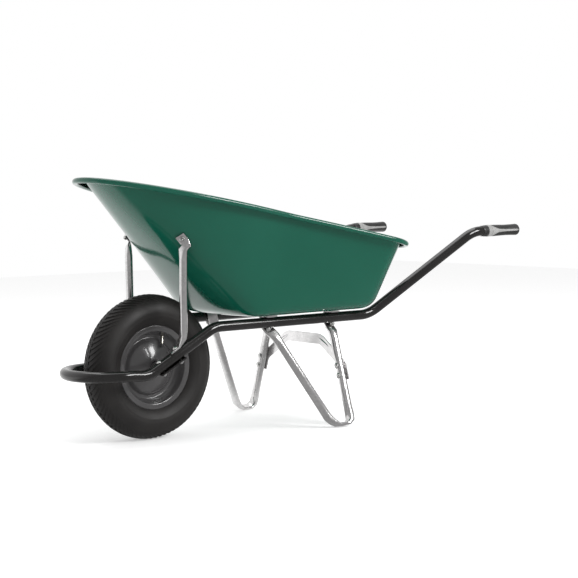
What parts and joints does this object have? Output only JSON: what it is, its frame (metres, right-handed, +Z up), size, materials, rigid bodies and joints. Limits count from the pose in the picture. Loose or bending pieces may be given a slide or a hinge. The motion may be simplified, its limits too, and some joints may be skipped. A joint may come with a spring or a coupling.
{
  "type": "wheelbarrow",
  "caption": "Wheelbarrow with a deep pressed tray on a bent tube frame, a pneumatic wheel inside a front loop, folded tube legs with a cross brace, and rubber grips.",
  "frame": {"origin": "on the ground, under the middle of the object's box", "axes": "+X from the wheel to the handles, +Y to the user's right when pushing towards -X, +Z up"},
  "size_m": [1.4604, 0.6258, 0.7202],
  "materials": {
    "tray_paint": "gloss green enamel",
    "frame_paint": "gloss black enamel",
    "rim_paint": "gloss dark grey paint",
    "galvanised": "bright zinc coating, satin",
    "zinc_plated": "bright zinc plate",
    "tyre_rubber": "matt black rubber",
    "tube_rubber": "matt butyl rubber",
    "grip_black": "satin moulded rubber",
    "grip_grey": "satin soft grey rubber",
    "bearing_nylon": "moulded nylon bush",
    "valve_metal": "nickel-plated valve stem",
    "valve_cap_plastic": "moulded plastic"
  },
  "bodies": {
    "chassis": {"axle": "zinc_plated", "axle_bracket_left": "frame_paint", "axle_bracket_right": "frame_paint", "axle_nut_left": "zinc_plated", "axle_nut_right": "zinc_plated", "axle_spacer_left": "zinc_plated", "axle_spacer_right": "zinc_plated", "brace_bolt_lower_left": "zinc_plated", "brace_bolt_lower_right": "zinc_plated", "brace_bolt_upper_left": "zinc_plated", "brace_bolt_upper_right": "zinc_plated", "brace_nut_lower_left": "zinc_plated", "brace_nut_lower_right": "zinc_plated", "brace_nut_upper_left": "zinc_plated", "brace_nut_upper_right": "zinc_plated", "bracket_bolt_front_left": "zinc_plated", "bracket_bolt_front_right": "zinc_plated", "bracket_bolt_rear_left": "zinc_plated", "bracket_bolt_rear_right": "zinc_plated", "bracket_nut_front_left": "zinc_plated", "bracket_nut_front_right": "zinc_plated", "bracket_nut_rear_left": "zinc_plated", "bracket_nut_rear_right": "zinc_plated", "cross_brace": "galvanised", "frame_tube": "frame_paint", "grip_left": "grip_black", "grip_right": "grip_black", "grip_ring_left": "grip_grey", "grip_ring_right": "grip_grey", "leg_left": "galvanised", "leg_right": "galvanised", "support_bolt_left": "zinc_plated", "support_bolt_right": "zinc_plated", "support_nut_left": "zinc_plated", "support_nut_right": "zinc_plated", "tray": "tray_paint", "tray_bolt_front_left": "zinc_plated", "tray_bolt_front_right": "zinc_plated", "tray_bolt_rear_left": "zinc_plated", "tray_bolt_rear_right": "zinc_plated", "tray_nut_front_left": "zinc_plated", "tray_nut_front_right": "zinc_plated", "tray_nut_rear_left": "zinc_plated", "tray_nut_rear_right": "zinc_plated", "tray_support_left": "galvanised", "tray_support_right": "galvanised"},
    "wheel": {"hub_bearing_left": "bearing_nylon", "hub_bearing_right": "bearing_nylon", "hub_tube": "rim_paint", "inner_tube": "tube_rubber", "rim_left": "rim_paint", "rim_right": "rim_paint", "tyre": "tyre_rubber", "valve_cap": "valve_cap_plastic", "valve_stem": "valve_metal"}
  },
  "joints": [
    {"name": "wheel_spin", "type": "hinge", "parent": "chassis", "child": "wheel", "pos_m": [-0.4678, 0, 0.2], "axis": [0, 1, 0], "continuous": true}
  ]
}
